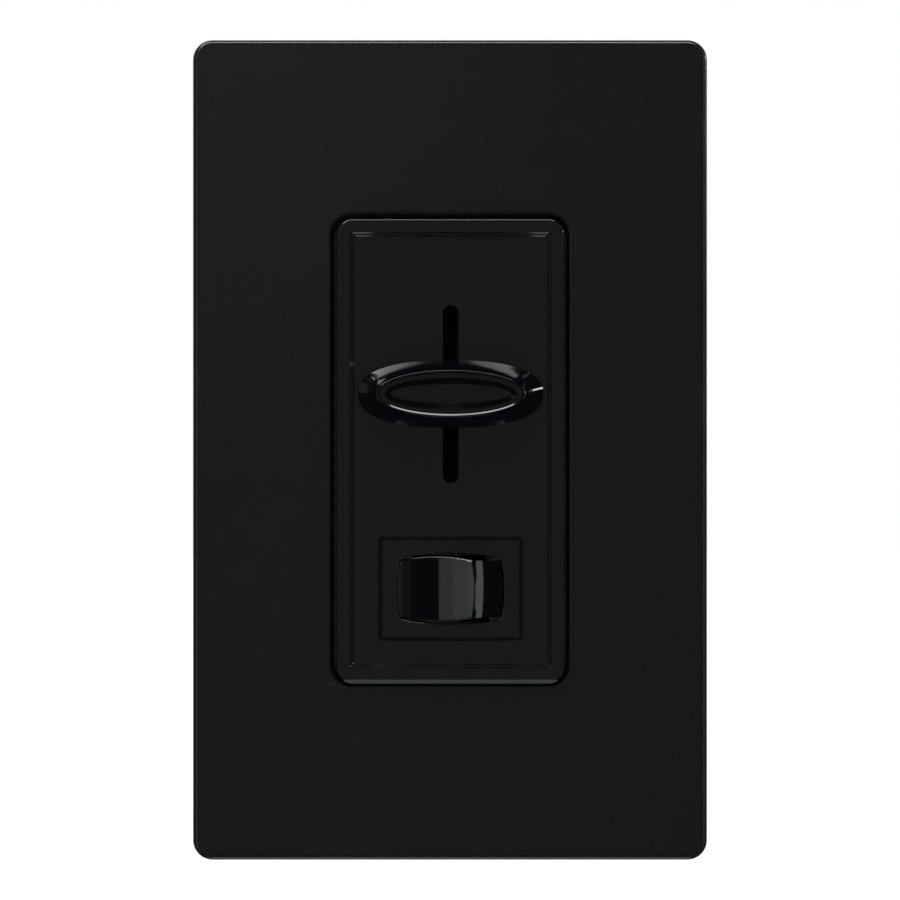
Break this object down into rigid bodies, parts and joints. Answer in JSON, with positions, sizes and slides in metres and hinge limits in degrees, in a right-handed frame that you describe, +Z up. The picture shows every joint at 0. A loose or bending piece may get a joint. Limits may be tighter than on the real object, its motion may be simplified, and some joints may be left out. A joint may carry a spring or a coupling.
{
  "type": "slide dimmer switch",
  "caption": "Gloss black wall dimmer with an oval slider over a long slot, a small side-to-side rocker and a screwless single-gang wall plate.",
  "frame": {"origin": "centre of the device on the plane of the finished wall, midway between the two box screws, at the back face of the yoke", "axes": "+Z up along the slider's slot; -Y out at the room; +Y into the wall box; +X to the right seen from the room"},
  "size_m": [0.0748, 0.0443, 0.119],
  "materials": {
    "gloss_black": "gloss moulded",
    "bezel_black": "gloss moulded",
    "adapter_plastic": "fine matt moulded",
    "yoke_aluminium": "mill finish",
    "zinc_steel": "bright zinc",
    "washer_fibre": "pressed fibre",
    "green_screw": "green dye over zinc",
    "housing_plastic": "fine texture moulded",
    "rivet_steel": "plated, rolled",
    "brass": "stamped",
    "board_laminate": "glass-epoxy laminate",
    "insulator_fibre": "calendered fibre",
    "pot_steel": "black lacquer over steel",
    "track_phenolic": "paper phenolic",
    "lever_plastic": "moulded acetal",
    "bronze": "spring temper strip",
    "tinned_wire": "tinned",
    "silver": "contact alloy",
    "spring_steel": "music wire",
    "plunger_plastic": "natural acetal",
    "triac_moulding": "epoxy moulding",
    "triac_metal": "tinned copper",
    "mica": "sheet mica",
    "core_powder": "coated powder core",
    "enamelled_copper": "enamelled",
    "capacitor_case": "moulded box",
    "resistor_coat": "dipped coat",
    "diac_glass": "sealed glass"
  },
  "bodies": {
    "device": {"wallplate": "gloss_black", "adapter_plate": "adapter_plastic", "adapter_screws": "zinc_steel", "yoke": "yoke_aluminium", "box_screws": "zinc_steel", "screw_retainers": "washer_fibre", "ground_screw": "green_screw", "bezel": "bezel_black", "pot_case": "pot_steel", "pot_track": "track_phenolic", "pot_pins": "tinned_wire", "contact_cradle": "brass", "contact_strip": "brass", "fixed_contact": "silver", "back_housing": "housing_plastic", "housing_rivets": "rivet_steel", "yoke_insulator": "insulator_fibre", "circuit_board": "board_laminate", "line_terminal": "brass", "load_terminal": "brass", "wire_clamps": "zinc_steel", "terminal_screws": "brass", "triac_pad": "mica", "triac_tab": "triac_metal", "triac_body": "triac_moulding", "triac_legs": "tinned_wire", "triac_rivet": "rivet_steel", "choke_core": "core_powder", "choke_winding": "enamelled_copper", "choke_leads": "enamelled_copper", "filter_capacitor": "capacitor_case", "timing_capacitors": "capacitor_case", "capacitor_leads": "tinned_wire", "resistors": "resistor_coat", "diac": "diac_glass", "axial_leads": "tinned_wire"},
    "slider": {"slider_knob": "gloss_black", "pot_lever": "lever_plastic", "pot_wiper": "bronze"},
    "rocker": {"rocker": "gloss_black", "rocker_spring": "spring_steel", "rocker_plunger": "plunger_plastic"},
    "contact_arm": {"contact_blade": "bronze", "moving_contact": "silver"}
  },
  "joints": [
    {"name": "slider_travel", "type": "slide", "parent": "device", "child": "slider", "axis": [0, 0, 1], "range_m": [-0.0103, 0.0103]},
    {"name": "rocker_throw", "type": "hinge", "parent": "device", "child": "rocker", "pos_m": [0, -0.0004, -0.0199], "axis": [0, 0, 1], "range_deg": [0, 25.8]},
    {"name": "contact_rock", "type": "hinge", "parent": "device", "child": "contact_arm", "pos_m": [0, 0.0064, -0.0199], "axis": [0, 0, 1], "range_deg": [-18, 0]}
  ],
  "couplings": [
    {"joint": "contact_rock", "follows": "rocker_throw", "ratio": -0.6976}
  ]
}
